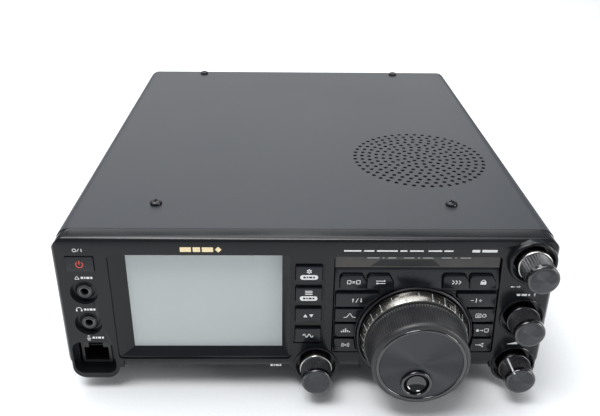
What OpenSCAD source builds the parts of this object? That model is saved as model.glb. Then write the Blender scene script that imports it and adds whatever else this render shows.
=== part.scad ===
// Compact bench and mobile radio transceiver, as an assembly of its separate pieces.
// Working frame: x right, y back, z up, seen from the front. x = 0 is the middle of the front panel,
// y = 0 its flat front face and z = 0 the level of its lowest edge. stand() then moves everything so
// that the whole set stands on z = 0 with the middle of its bounding box over the origin.

/* [Case] */
// Width of the case and front panel
body_w = 229; // [228:0.5:230]
// Height of the front panel, lowest edge to top
body_h = 80; // [79.5:0.5:80.5]
// Depth from the panel's face to the back edge of the covers
body_d = 253; // [248:1:258]
// Radius of the long bends in the covers
bend_r = 7; // [5:0.5:8]
// Thickness of the cover sheet
sheet_t = 1; // [0.8:0.1:1.1]
// Height of the panel's lowest edge above the table
lift = 7; // [6:0.5:9]

/* [Front panel] */
// Depth of the panel moulding that shows in front of the covers
panel_d = 8.2; // [8:0.1:8.4]
// Thickness of the moulding's face
face_t = 3; // [2.8:0.1:3.1]
// How far the screen window lies behind the face
window_y = 4; // [3.8:0.1:4.1]
// How far the key caps stand out of the face
key_proud = 1.2; // [0.8:0.1:1.5]
// Travel of every key
key_travel = 0.8; // [0.5:0.1:0.8]
// Gap round each key cap
key_gap = 0.3; // [0.25:0.05:0.35]

/* [Dial and knobs] */
// Outer radius of the dial's graduated skirt
skirt_r = 25.9; // [25:0.1:26]
// Radius of the dial's knurled rim where it is widest
dial_r = 23.6; // [22:0.1:23.8]
// Reach of the dial's front edge from the panel face
dial_reach = 22.3; // [20:0.1:24]
// Radius of the small knobs at the face
knob_r = 7.1; // [6.5:0.1:7.3]
// Reach of the top right knob
clar_reach = 16.4; // [15:0.1:18]
// Reach of the middle right knob
gain_reach = 13.4; // [12:0.1:15]
// Reach of the bottom right knob and the one in the middle
low_reach = 13.2; // [12:0.1:15]
// Height of the raised rim round the top right knob
cowl_h = 3; // [2:0.1:3.4]

/* [Speaker holes] */
// Rings of holes round the middle hole
hole_rings = 9; // [7:1:9]
// Distance from ring to ring
ring_pitch = 3.95; // [3.6:0.05:4]
// Radius of one hole
hole_r = 1.15; // [0.9:0.05:1.25]

/* [Bail] */
// Length of the bail's legs
bail_l = 46; // [36:1:50]
// Radius of the bail's wire
wire_r = 1.9; // [1.6:0.1:2]

/* [Hidden] */
$fn = 48;
EPS = 0.01;

// ---- derived sizes, all in the working frame ----
left = -body_w / 2;
right = body_w / 2;
base_z = 4;
split_z = 24;
seam = 0.25;
cover_y = panel_d + seam;
back_y = body_d - 1;
socket_reach = 15;
cup_proud = 0.9;
mid_y = (back_y + socket_reach - dial_reach - cup_proud) / 2;

// places of the controls
jack_x = left + 12.3;
knob_x = right - 12.2;
strip_x = right - 63.2;
dial_x = strip_x + 0.5;
dial_z = 26.6;
multi_x = strip_x - 45.8;
multi_z = 8.5;
clar_z = 68.3;
gain_z = 37;
volume_z = 9;
key_jack_z = 50.6;
phones_z = 33;

// screen: visible window, and the sloping bezel round it
screen = [-82.6, 16.8, -11, 69.3];
bezel_out = [-90, 11.9, -6.5, 71];

// dial panel: its top and bottom edges, its left edge and its slightly slanted right edge
panel_z0 = 16;
panel_z1 = 63.7;
panel_x0 = strip_x - 38.2;
strip_z1 = 70.4;
function edge_x(z) = strip_x + 37 + (70 - z) * 0.041;

// dial well and the arc that the side keys follow
ring_r = 27.5;
key_arc_r = 28.6;

// finger cup in the dial's face: its radius, its distance from the dial's axis and how far round it lies
cup_r = 7.2;
cup_off = 10.2;
cup_turn = 8;
cup_hub_r = 3;

// knob wells: centre and radius of each, and the outside of the raised rim
well_r = 9.7;
cowl_r = 11.1;
wells = [[multi_x, multi_z], [knob_x, clar_z], [knob_x, gain_z], [knob_x, volume_z]];
collar_y = 3.2;

// side keys: four rows on each side of the dial, and how far each row reaches towards it
row_z = 47.4;
row_pitch = 8.62;
row_h = 7.3;
row_reach = [18.3, 24.3, 26.7, 26.5];

// function keys beside the screen
fn_x = multi_x - 4.2;
fn_w = 12;
fn_h = 7.7;
fn_z = 61.6;
fn_pitch = 11.6;

// keys above the dial
top_key_z = 53.9;
top_key_w = 12.1;
top_key_h = 6.8;
top_key_x = [strip_x - 35.6, strip_x - 23.2, strip_x + 11.6, strip_x + 24];

// power key
power_w = 12.6;
power_h = 7.6;
power_z = 66.4;

// boards, and the posts that they stand on
board_y = 13;
board_t = 1.6;
main_z = 14;
power_z0 = 46;
board_posts = [[-98, 38], [98, 38], [-98, 130], [98, 130], [-98, 222], [98, 222]];
power_posts = [[-94, 50], [-94, 166], [18, 50], [18, 166]];
panel_post_at = [[left + 7.7, 41.8], [left + 7.7, 74.2], [right - 7.7, 53], [right - 7.7, 22.5]];
flange_y = face_t + 0.3;
stem_y = 11.6;

// chassis
wall_t = 2.5;
deck_z = 38;
bulk_y = 24;
chassis_y1 = 248;
boss_y = [90, 190];
boss_z = 52;
m4_r = 1.65;
m3_r = 1.5;
clear_r = 1.75;

// cover screws: top, bottom, sides and the corners of the rear panel
front_top_screws = [[-72.3, 32.3], [71.3, 32.3]];
rear_top_screws = [[-72.2, 247.6], [72.8, 247.6]];
front_bottom_x = [-40, 40];
front_bottom_y = bulk_y + 8;
rear_bottom_x = [-64, 64];
rear_bottom_y = 247.6;
side_screw_y = [40, 230];
side_screw_z = 34;
corner_x = 108;
corner_z = [15, 68];

// sockets in the rear panel
hf_pos = [92, 56];
vhf_pos = [-92, 56];
ground_pos = [92, 22];
dc_pos = [-88, 22];
din_pos = [[46, 60], [66, 60]];
serial_pos = [56, 22];
usb_pos = [-46, 22];
mini_pos = [[-46, 60], [-64, 60]];

// fan
fan_z = 42;
fan_w = 60;
fan_y0 = 236.6;
fan_y1 = 248;
fan_bore_r = 28.4;

// speaker
speaker_x = 65;
speaker_y = 88.2;

// feet and bail
foot_x = 88;
foot_y = [46, 222];
bail_x = 62;
bail_y = 32;
bail_z = base_z - wire_r - 1;

// ---- frames and shared shapes ----
// Moves a piece from the working frame to its place above the table
module stand() translate([0, -mid_y, lift]) children();

// Extrudes an outline seen from the front (x, z) from depth y0 to depth y1
module front(y0, y1) translate([0, y1, 0]) rotate([90, 0, 0]) linear_extrude(y1 - y0) children();

// Extrudes an outline seen from the side (y, z) from x0 to x1
module side(x0, x1) translate([x0, 0, 0]) rotate([90, 0, 90]) linear_extrude(x1 - x0) children();

// Places something on an axis that runs front to back through (x, z)
module at(x, z) translate([x, 0, z]) children();

// Straight round bar along y, x or z
module rod_y(r, y0, y1) translate([0, y1, 0]) rotate([90, 0, 0]) cylinder(r = r, h = y1 - y0);
module rod_x(r, x0, x1) translate([x0, 0, 0]) rotate([0, 90, 0]) cylinder(r = r, h = x1 - x0);
module rod_z(r, z0, z1) translate([0, 0, z0]) cylinder(r = r, h = z1 - z0);

// Turned shape round the y axis: points are [radius, distance towards the front]
module turned(points) rotate([90, 0, 0]) rotate_extrude($fn = 96) polygon(points);

// The same with distances towards the back
module turned_back(points) rotate([-90, 0, 0]) rotate_extrude($fn = 64) polygon(points);

// Box from corner to corner
module block(a, b) translate(a) cube(b - a);

// Rectangle from corner to corner, with and without round corners
module rect(x0, z0, x1, z1) translate([x0, z0]) square([x1 - x0, z1 - z0]);

module rrect(x0, z0, x1, z1, r) {
    rect(x0 + r, z0, x1 - r, z1);
    rect(x0, z0 + r, x1, z1 - r);
    for (x = [x0 + r, x1 - r], z = [z0 + r, z1 - r]) translate([x, z]) circle(r);
}

// Frustum-shaped pocket between two rectangles [x0, z0, x1, z1] at depths ya and yb
module pocket(a, ya, b, yb) polyhedron(
    points = [[a[0], ya, a[1]], [a[2], ya, a[1]], [a[2], ya, a[3]], [a[0], ya, a[3]],
              [b[0], yb, b[1]], [b[2], yb, b[1]], [b[2], yb, b[3]], [b[0], yb, b[3]]],
    faces = [[3, 2, 1, 0], [5, 6, 7, 4], [1, 5, 4, 0], [2, 6, 5, 1], [3, 7, 6, 2], [0, 4, 7, 3]]);

// Inside of the covers, drawn in by gap
module inner_outline(gap) {
    s = sheet_t + gap;
    rrect(left + s, base_z + s, right - s, body_h - s, bend_r - s);
}

// Pan-head screw with a cross recess; the head sits on z = 0 and the shank points down
module pan_screw(shank = 7) {
    difference() {
        rotate_extrude($fn = 48) polygon([[0, -shank], [m3_r, -shank], [m3_r, 0], [2.9, 0],
            [2.9, 0.7], [2.6, 1.3], [1.9, 1.75], [0.9, 1.95], [0, 2]]);
        for (a = [0, 90]) rotate(a) translate([-1.5, -0.35, 0.9]) cube([3, 0.7, 2]);
    }
}

// ---- front panel ----
module panel_outline() {
    rrect(left, 6.9, right, body_h, 8);
    rrect(left + 1.5, 0.3, left + 24.1, 25, 6.5);
    translate([multi_x, multi_z]) circle(11);
    translate([dial_x, dial_z]) circle(28.6);
    rrect(knob_x - 10.6, -1.4, right - 1.2, 25, 9);
}

// Rounds the front edges of the moulding along its top and its two sides
module panel_blank() {
    r = 2.2;
    intersection() {
        front(0, panel_d) panel_outline();
        side(left, right) {
            rect(0, -5, panel_d, body_h - r);
            rect(r, 0, panel_d, body_h);
            translate([r, body_h - r]) circle(r);
        }
        translate([0, 0, -5]) linear_extrude(body_h + 10) {
            rect(left + r, 0, right - r, panel_d);
            rect(left, r, right, panel_d);
            for (x = [left + r, right - r]) translate([x, r]) circle(r);
        }
    }
}

module panel_posts(r, y0, y1) for (p = panel_post_at) at(p[0], p[1]) rod_y(r, y0, y1);

module dial_panel_outline(x_in, z0, z1) polygon([[panel_x0 + x_in, z0], [edge_x(z0) - x_in, z0],
    [edge_x(z1) - x_in, z1], [panel_x0 + x_in, z1]]);

module front_panel() color([0.09, 0.09, 0.1]) stand() difference() {
    union() {
        difference() {
            panel_blank();
            front(face_t, panel_d + 1) rrect(left + 2, 8.9, right - 2, body_h - 2, 6);
        }
        // lip that runs inside the covers
        difference() {
            front(panel_d - 1, board_y) intersection() {
                inner_outline(0.2);
                rect(left, 27, right, body_h);
            }
            front(panel_d - 2, board_y + 1) rrect(left + 2.9, 0, right - 2.9, body_h - 2.9, 5);
        }
        front(face_t - 1, window_y + 1.6) rect(bezel_out[0] - 2, 9.8, bezel_out[2] + 1.5, 73);
        front(face_t - 1, 4.4) rect(panel_x0 - 2, 14.2, edge_x(60) + 2, 72);
        front(0.6, panel_d) rrect(left + 1.5, 2, left + 24.1, 23.6, 4);
        for (w = wells) at(w[0], w[1]) rod_y(well_r + 0.8, face_t - 1.5, 4.6);
        // raised rims round the knobs; the top one stands out furthest
        at(knob_x, clar_z) turned([[9, -1], [cowl_r + 0.2, -1], [cowl_r + 0.2, 0], [cowl_r, cowl_h - 0.9],
            [cowl_r - 0.3, cowl_h - 0.3], [cowl_r - 0.8, cowl_h], [9, cowl_h]]);
        for (w = wells) at(w[0], w[1]) turned([[9, -1], [well_r + 0.9, -1], [well_r + 0.9, 0.4],
            [well_r + 0.6, 0.7], [9, 0.7]]);
        for (z = [key_jack_z, phones_z]) at(jack_x, z) rod_y(7.6, face_t - 1, 4.4);
        panel_posts(2.8, face_t - 1, bulk_y - 0.2);
    }
    // screen: shallow step, slopes and the seat of the window
    front(-1, 0.8) rrect(bezel_out[0], bezel_out[1], bezel_out[2], bezel_out[3], 2.4);
    pocket([bezel_out[0] + 1.2, bezel_out[1] + 1.2, bezel_out[2] - 0.9, bezel_out[3] - 0.4], 0.79,
        screen, window_y + EPS);
    front(window_y, 12) rect(screen[0] - 1.8, screen[1] - 1.8, screen[2] + 1.8, screen[3] + 1.8);
    // sloping lower lip between the lobes
    for (x = [[left + 26.5, multi_x - 12], [multi_x + 12, dial_x - 25], [dial_x + 25, knob_x - 11.6]])
        side(x[0], x[1]) polygon([[-1, 11.2], [0, 11.2], [2.2, 6.4], [2.2, 3], [-1, 3]]);
    // function keys
    front(-1, 0.6) rrect(fn_x - 7.2, fn_z - 3 * fn_pitch - 5.2, fn_x + 7.3, fn_z + 5.3, 0.9);
    for (i = [0:3]) front(0, 6) fn_key_outline(i, key_gap);
    // power key
    front(-1, 6) rrect(jack_x - power_w / 2 - key_gap, power_z - power_h / 2 - key_gap,
        jack_x + power_w / 2 + key_gap, power_z + power_h / 2 + key_gap, 0.9);
    // wells and jack openings
    for (w = wells) at(w[0], w[1]) {
        rod_y(well_r, -5, 2.4);
        rod_y(3.7, 0, 5);
    }
    for (z = [key_jack_z, phones_z]) at(jack_x, z) {
        turned_back([[0, -0.5], [6.5, -0.5], [5.9, 2.4], [0, 2.4]]);
        rod_y(4.6, 0, 5);
    }
    // microphone recess, with room behind for the socket
    front(-1, 5.5) rrect(left + 2.7, 3.2, left + 22.8, 22, 4.4);
    front(5.4, panel_d + 1) rect(left + 3.9, 5, left + 20.1, 19.9);
    // dial panel, dial well, and room for the two low controls
    front(-1, face_t) dial_panel_outline(0, panel_z0, strip_z1);
    front(0, 5) dial_panel_outline(-0.5, panel_z0 + 0.9, strip_z1 - 0.9);
    at(dial_x, dial_z) rod_y(ring_r + 0.2, -1, 2.6);
    for (p = [[multi_x, multi_z], [knob_x, volume_z]])
        block([p[0] - 6.3, 4.6, p[1] - 3.5], [p[0] + 6.3, panel_d + 1, p[1] + 7]);
    at(dial_x, dial_z) rod_y(15.5, 4.2, panel_d + 1);
    // screw holes in the posts
    panel_posts(m3_r, 15, bulk_y + 1);
}

// ---- dial panel and windows ----
// Side key: side -1 is left of the dial and 1 right of it
module side_key_outline(i, s, grow) {
    z = row_z - i * row_pitch;
    far = s < 0 ? dial_x - panel_x0 - 0.8 : edge_x(z) - dial_x - 0.9;
    near = row_reach[i];
    translate([dial_x, 0]) difference() {
        rect(min(s * far, s * near) - grow, z - row_h / 2 - grow,
            max(s * far, s * near) + grow, z + row_h / 2 + grow);
        translate([0, dial_z]) circle(key_arc_r - grow, $fn = 96);
    }
}

module top_key_outline(i, grow) {
    x0 = top_key_x[i] - grow;
    x1 = top_key_x[i] + top_key_w + grow;
    z0 = top_key_z - grow;
    z1 = top_key_z + top_key_h + grow;
    polygon([[x0, z0], [x1, z0], [x1 - 0.2, z0 + 3.2], [x1 - 2.4, z1], [x0 + 1.2, z1], [x0, z1 - 1.4]]);
}

module fn_key_outline(i, grow) {
    z = fn_z - i * fn_pitch;
    rect(fn_x - fn_w / 2 - grow, z - fn_h / 2 - grow, fn_x + fn_w / 2 + grow, z + fn_h / 2 + grow);
}

module dial_panel() color([0.1, 0.105, 0.12]) stand() difference() {
    intersection() {
        front(-1, face_t) dial_panel_outline(0.1, panel_z0 + 0.1, panel_z1);
        side(panel_x0 - 1, edge_x(0) + 1) polygon([[face_t, 0], [0.3, 0], [0.3, 52.2], [-0.3, 52.6],
            [-0.3, 54], [1.7, panel_z1 + 1], [face_t, panel_z1 + 1]]);
    }
    at(dial_x, dial_z) rod_y(ring_r + 0.15, -2, 4);
    for (i = [0:3]) {
        front(-2, 4) top_key_outline(i, key_gap);
        for (s = [-1, 1]) front(-2, 4) side_key_outline(i, s, key_gap);
    }
}

module indicator_window() color([0.3, 0.29, 0.28, 0.8]) stand()
    front(1.6, face_t) dial_panel_outline(0.1, panel_z1 + 0.1, strip_z1 - 0.1);

module screen_window() color([0.62, 0.64, 0.65, 0.5]) stand()
    front(window_y, window_y + 1.5) rect(screen[0] - 1.7, screen[1] - 1.7, screen[2] + 1.7, screen[3] + 1.7);

module display_module() color([0.66, 0.68, 0.69]) stand() {
    y0 = window_y + 1.9;
    difference() {
        front(y0, y0 + 5.4) rect(screen[0] - 3.4, screen[1] - 4.4, screen[2] + 3, screen[3] + 3.4);
        front(y0 - 1, y0 + 2) rect(screen[0] - 0.6, screen[1] - 0.6, screen[2] + 0.6, screen[3] + 0.6);
    }
    front(y0 + 0.4, y0 + 2) rect(screen[0] - 0.5, screen[1] - 0.5, screen[2] + 0.5, screen[3] + 0.5);
}

// ---- keys ----
// A key is a cap, a flange that holds it in behind the panel and a stem that works its switch
module key(y_proud = key_proud) {
    front(-y_proud, flange_y + 1) children(0);
    front(flange_y, flange_y + 1) children(1);
    children(2);
}

module stem(x, z) at(x, z) rod_y(1.6, flange_y + 0.5, stem_y);

module side_key(i, s) color([0.08, 0.08, 0.11]) stand() {
    z = row_z - i * row_pitch;
    key() {
        side_key_outline(i, s, 0);
        intersection() {
            side_key_outline(i, s, 0.5);
            rect(-500, 0, 500, 500);
        }
        stem(dial_x + s * (row_reach[i] + 4.5), z);
    }
}

module top_key(i) color([0.08, 0.08, 0.1]) stand() key(0.9) {
    top_key_outline(i, 0);
    rect(top_key_x[i] + 0.1, top_key_z - 0.8, top_key_x[i] + top_key_w - 0.1, top_key_z + top_key_h + 0.8);
    stem(top_key_x[i] + top_key_w / 2, top_key_z + top_key_h / 2);
}

module fn_key(i) color([0.07, 0.07, 0.08]) stand() {
    z = fn_z - i * fn_pitch;
    key(0.9) {
        fn_key_outline(i, 0);
        rect(fn_x - fn_w / 2, z - fn_h / 2 - 0.7, fn_x + fn_w / 2, z + fn_h / 2 + 0.7);
        stem(fn_x, z);
    }
}

module power_key() color([0.09, 0.09, 0.12]) stand() key(0.6) {
    rrect(jack_x - power_w / 2, power_z - power_h / 2, jack_x + power_w / 2, power_z + power_h / 2, 0.7);
    rect(jack_x - power_w / 2 - 0.6, power_z - power_h / 2 - 0.6,
        jack_x + power_w / 2 + 0.6, power_z + power_h / 2 + 0.6);
    stem(jack_x, power_z);
}

// ---- main dial ----
module dial_ring() color([0.3, 0.3, 0.31]) stand() at(dial_x, dial_z)
    turned([[5.4, -1.8], [26.3, -1.8], [26.3, 0.5], [26.6, 0.9], [27.1, 0.9], [ring_r, 0.5],
        [ring_r, -2.6], [5.4, -2.6]]);

module dial_skirt() color([0.55, 0.54, 0.52]) stand() at(dial_x, dial_z)
    turned([[dial_r - 4, 0.6], [skirt_r, 0.6], [skirt_r - 1.4, 6.6], [skirt_r - 1.8, 7], [dial_r - 4, 7]]);

module main_dial() color([0.07, 0.07, 0.07]) stand() at(dial_x, dial_z) difference() {
    f = dial_reach;
    hub = cup_hub_r;
    union() {
        turned([[hub, 3], [5.5, 3], [5.5, f - 5], [dial_r - 5, f - 5], [dial_r - 5, 1.2], [dial_r - 4, 1.2],
            [dial_r - 4, 7.1], [dial_r - 0.4, 7.1], [dial_r, 7.6], [dial_r - 0.9, f - 2.9],
            [dial_r - 1.4, f - 1.6], [dial_r - 2.4, f - 0.5], [dial_r - 3.6, f], [dial_r - 4.2, f - 0.2],
            [dial_r - 4.6, f - 0.6], [hub, f - 0.6]]);
        turned([[0, -3.5], [hub - 0.05, -3.5], [hub - 0.05, f - 0.6], [0, f - 0.6]]);
        turned([[hub - 0.1, 3.2], [hub + 0.1, 3.2], [hub + 0.1, f - 0.7], [hub - 0.1, f - 0.7]]);
    }
    rotate([0, cup_turn, 0]) at(0, -cup_off) rod_y(cup_r + 0.1, -f - 2, 3.9 - f);
}

module finger_cup() color([0.03, 0.03, 0.03]) stand()
    at(dial_x, dial_z) rotate([0, cup_turn, 0]) at(0, -cup_off) {
    f = dial_reach;
    turned([[0, f - 3.8], [cup_r, f - 3.8], [cup_r, f + 0.4], [cup_r - 0.4, f + 0.8],
        [cup_r - 0.9, f + cup_proud], [cup_r - 1.5, f + 0.6], [5.2, f - 0.7], [4.2, f - 1.7],
        [2.8, f - 2.5], [1.4, f - 2.9], [0, f - 3]]);
}

// ---- small knobs, each with its shaft ----
// A knob is a collar, a tapered grip and a shoulder; base is where its collar ends
module knob(reach, base) {
    r = knob_r;
    shaft_y = 6;
    turned([[3, -1.6], [r + 0.7, -1.6], [r + 0.7, base - 0.2], [r + 0.5, base], [r + 0.35, base + 0.1],
        [r + 0.1, reach - 2.9], [r, reach - 1], [r - 0.5, reach - 0.3], [r - 1.3, reach], [0, reach],
        [0, reach - 2], [3, reach - 2]]);
    turned([[0, -shaft_y], [3, -shaft_y], [3, reach - 2], [0, reach - 2]]);
}

module multi_knob() color([0.08, 0.08, 0.08]) stand() at(multi_x, multi_z) knob(low_reach, collar_y);
module clarifier_knob() color([0.08, 0.08, 0.08]) stand()
    at(knob_x, clar_z) knob(clar_reach, collar_y + cowl_h);
module rf_gain_knob() color([0.08, 0.08, 0.08]) stand() at(knob_x, gain_z) knob(gain_reach, collar_y);
module af_gain_knob() color([0.08, 0.08, 0.08]) stand() at(knob_x, volume_z) knob(low_reach, collar_y);

// Body, bushing and running bore of a small control; the body reaches down less than up
module control_body() difference() {
    union() {
        block([-6, 4.8, -3.2], [6, board_y - 0.1, 6.6]);
        rod_y(3.6, 2.7, 5);
    }
    rod_y(3.05, 0, 6.2);
}

module knob_encoders() color([0.5, 0.5, 0.52]) stand() {
    at(multi_x, multi_z) control_body();
    at(knob_x, clar_z) control_body();
}

module gain_controls() color([0.35, 0.4, 0.45]) stand() {
    at(knob_x, gain_z) control_body();
    at(knob_x, volume_z) control_body();
}

module dial_encoder() color([0.45, 0.45, 0.47]) stand() at(dial_x, dial_z) difference() {
    union() {
        rod_y(14.8, 4.6, board_y - 0.1);
        rod_y(4.9, 1, 5);
    }
    rod_y(3, -1, 4);
}

// ---- sockets in the front panel ----
module front_jacks() color([0.05, 0.05, 0.05]) stand() for (z = [key_jack_z, phones_z]) at(jack_x, z)
    difference() {
        union() {
            turned_back([[0, 0.9], [3.4, 0.9], [3.7, 1.2], [3.7, 2], [4.5, 2.4], [4.5, 5], [0, 5]]);
            block([-5.3, 4.5, -5.3], [5.3, board_y - 0.1, 5.3]);
        }
        rod_y(1.8, -1, 11.5);
        turned_back([[0, 0.8], [2.5, 0.8], [1.75, 1.5], [0, 1.5]]);
    }

module mic_socket() color([0.04, 0.04, 0.04]) stand() {
    x0 = left + 5.2;
    difference() {
        front(5.6, 21) rect(x0, 5.4, x0 + 14.4, 19.6);
        front(5, 18.5) rect(x0 + 1.2, 6.7, x0 + 13, 14.6);
        front(5, 18.5) rect(x0 + 3.6, 13, x0 + 10.6, 17.4);
    }
    for (i = [0:7]) block([x0 + 3.1 + i * 1.02, 9, 13.1], [x0 + 3.6 + i * 1.02, 18.4, 13.7]);
}

// ---- boards ----
module front_board() color([0.1, 0.35, 0.2]) stand() {
    difference() {
        front(board_y, board_y + board_t) {
            rect(left + 5, 22, right - 5, 76);
            rect(left + 22, 8.5, right - 5, 40);
        }
        panel_posts(3.1, 0, 40);
    }
    // switches under the key stems
    for (i = [0:3]) {
        pad(fn_x, fn_z - i * fn_pitch);
        pad(top_key_x[i] + top_key_w / 2, top_key_z + top_key_h / 2);
        for (s = [-1, 1]) pad(dial_x + s * (row_reach[i] + 4.5), row_z - i * row_pitch);
    }
    pad(jack_x, power_z);
    // chips and connectors on the back
    for (x = [-70, -30, 30]) block([x, board_y + board_t, 40], [x + 14, board_y + board_t + 1.6, 54]);
    for (x = [-60, -10, 60]) block([x, board_y + board_t, 12], [x + 24, board_y + board_t + 5, 18]);
}

module pad(x, z) at(x, z) rod_y(2.4, stem_y + key_travel + 0.1, board_y);

module main_board() color([0.1, 0.34, 0.2]) stand() {
    z0 = main_z;
    difference() {
        block([-104, 30, z0], [104, 230, z0 + board_t]);
        for (p = board_posts) translate([p[0], p[1], 0]) rod_z(m3_r, 10, 20);
    }
    for (i = [0:2]) block([-92 + i * 24, 70, z0 + board_t], [-76 + i * 24, 86, z0 + board_t + 2]);
    for (i = [0:4]) translate([-88 + i * 12, 112, 0]) rod_z(4, z0 + board_t, z0 + board_t + 9);
    block([74, 60, z0 + board_t], [94, 96, z0 + board_t + 6]);
    block([-90, 140, z0 + board_t], [-52, 176, z0 + board_t + 3]);
    block([-30, 196, z0 + board_t], [30, 206, z0 + board_t + 8]);
}

module power_board() color([0.12, 0.32, 0.2]) stand() {
    z0 = power_z0;
    difference() {
        block([-100, 44, z0], [24, 172, z0 + board_t]);
        for (p = power_posts) translate([p[0], p[1], 0]) rod_z(m3_r, 40, 50);
    }
    for (i = [0:4]) block([-84 + i * 17, 60, z0 + board_t], [-72 + i * 17, 80, z0 + board_t + 9]);
    for (i = [0:4]) translate([-80 + i * 17, 104, z0 + board_t]) difference() {
        cylinder(r = 7, h = 6);
        translate([0, 0, -1]) cylinder(r = 3.4, h = 8);
    }
    for (i = [0:3]) translate([-78 + i * 22, 136, 0]) rod_z(5, z0 + board_t, z0 + board_t + 14);
    block([-60, 150, z0 + board_t], [-20, 168, z0 + board_t + 5]);
}

module shield_can() color([0.72, 0.72, 0.7]) stand() {
    z0 = main_z + board_t;
    difference() {
        block([-30, 90, z0], [64, 180, z0 + 11]);
        block([-29.5, 90.5, z0 - 1], [63.5, 179.5, z0 + 10.5]);
        for (i = [0:5], j = [0:3]) translate([-16 + i * 13, 108 + j * 18, 0]) rod_z(1.6, z0, z0 + 12);
    }
}

// ---- chassis ----
module chassis() color([0.6, 0.6, 0.6]) stand() difference() {
    union() {
        intersection() {
            front(board_y + 0.4, chassis_y1) inner_outline(0.2);
            union() {
                for (s = [-1, 1]) translate([s * 111.7, 0, 0]) block([-1.5, board_y, 0], [1.5, 260, 90]);
                block([left, bulk_y + 1, deck_z], [right, 233.5, deck_z + wall_t]);
                block([left, bulk_y, 0], [right, bulk_y + wall_t, 90]);
                for (z = [base_z, body_h - sheet_t - 2.6])
                    block([-96, bulk_y, z], [96, bulk_y + 14, z + 3.6]);
            }
        }
        for (s = [-1, 1], y = boss_y) translate([0, y, boss_z])
            rod_x(5, min(s * 103, s * 112), max(s * 103, s * 112));
        for (s = [-1, 1], y = side_screw_y) translate([0, y, side_screw_z])
            rod_x(3.4, min(s * 105, s * 112), max(s * 105, s * 112));
        for (s = [-1, 1], z = corner_z) at(s * corner_x, z) rod_y(3.6, 234, chassis_y1);
        for (p = board_posts) translate([p[0], p[1], 0]) rod_z(3.4, main_z + board_t, deck_z + 1);
        for (p = power_posts) translate([p[0], p[1], 0]) rod_z(3.4, deck_z + 1, power_z0);
    }
    // cable slots in the bulkhead and the deck
    front(bulk_y - 1, bulk_y + 4) {
        rrect(-58, 44, -18, 54, 2);
        rrect(20, 18, 70, 28, 2);
    }
    block([-20, 34, deck_z - 1], [20, 42, deck_z + 4]);
    // screw holes
    for (s = [-1, 1], y = boss_y) translate([0, y, boss_z])
        rod_x(m4_r, min(s * 104, s * 116), max(s * 104, s * 116));
    for (s = [-1, 1], y = side_screw_y) translate([0, y, side_screw_z])
        rod_x(m3_r, min(s * 105.5, s * 116), max(s * 105.5, s * 116));
    for (s = [-1, 1], z = corner_z) at(s * corner_x, z) rod_y(m3_r, 238, 250);
    for (p = front_top_screws) translate([p[0], p[1], 0]) rod_z(m3_r, 70, 80);
    for (x = front_bottom_x) translate([x, front_bottom_y, 0]) rod_z(m3_r, 0, 12);
    panel_posts(clear_r, bulk_y - 1, bulk_y + 4);
    panel_posts(3.3, bulk_y + wall_t, bulk_y + 5);
}

// ---- covers ----
module cover_section() difference() {
    rrect(left, base_z, right, body_h, bend_r);
    inner_outline(0);
}

module top_cover() color([0.25, 0.26, 0.28]) stand() difference() {
    intersection() {
        front(cover_y, body_d) cover_section();
        block([left - 1, 0, split_z + 0.2], [right + 1, body_d + 5, body_h + 1]);
    }
    // speaker holes
    translate([speaker_x, speaker_y, 0]) {
        rod_z(hole_r, body_h - 3, body_h + 1);
        for (k = [1:hole_rings]) {
            n = round(2 * PI * k * ring_pitch / 4.7);
            for (i = [0:n - 1]) rotate(i * 360 / n + k * 11) translate([k * ring_pitch, 0, body_h - 3])
                cylinder(r = hole_r, h = 4, $fn = 16);
        }
    }
    // screw holes in the top, and in the sides for the lower screws and the mounting bracket
    for (p = concat(front_top_screws, rear_top_screws)) translate([p[0], p[1], 0])
        rod_z(clear_r, body_h - 3, body_h + 1);
    for (y = side_screw_y) translate([0, y, side_screw_z]) rod_x(clear_r, left - 1, right + 1);
    for (y = boss_y) translate([0, y, boss_z]) rod_x(2.4, left - 1, right + 1);
    // side vents
    for (i = [0:9]) block([left - 1, 118 + i * 5, 40], [right + 1, 120.4 + i * 5, 64]);
}

module bottom_cover() color([0.2, 0.2, 0.21]) stand() difference() {
    intersection() {
        front(cover_y, body_d) cover_section();
        block([left - 1, 0, -1], [right + 1, body_d + 5, split_z - 0.2]);
    }
    for (x = front_bottom_x) translate([x, front_bottom_y, 0]) rod_z(clear_r, base_z - 1, base_z + 3);
    for (x = rear_bottom_x) translate([x, rear_bottom_y, 0]) rod_z(clear_r, base_z - 1, base_z + 3);
    // floor vents
    for (i = [0:7], x = [-40, 40]) translate([x, 120 + i * 9, base_z]) block([-20, 0, -1], [20, 3, 2]);
}

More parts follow.
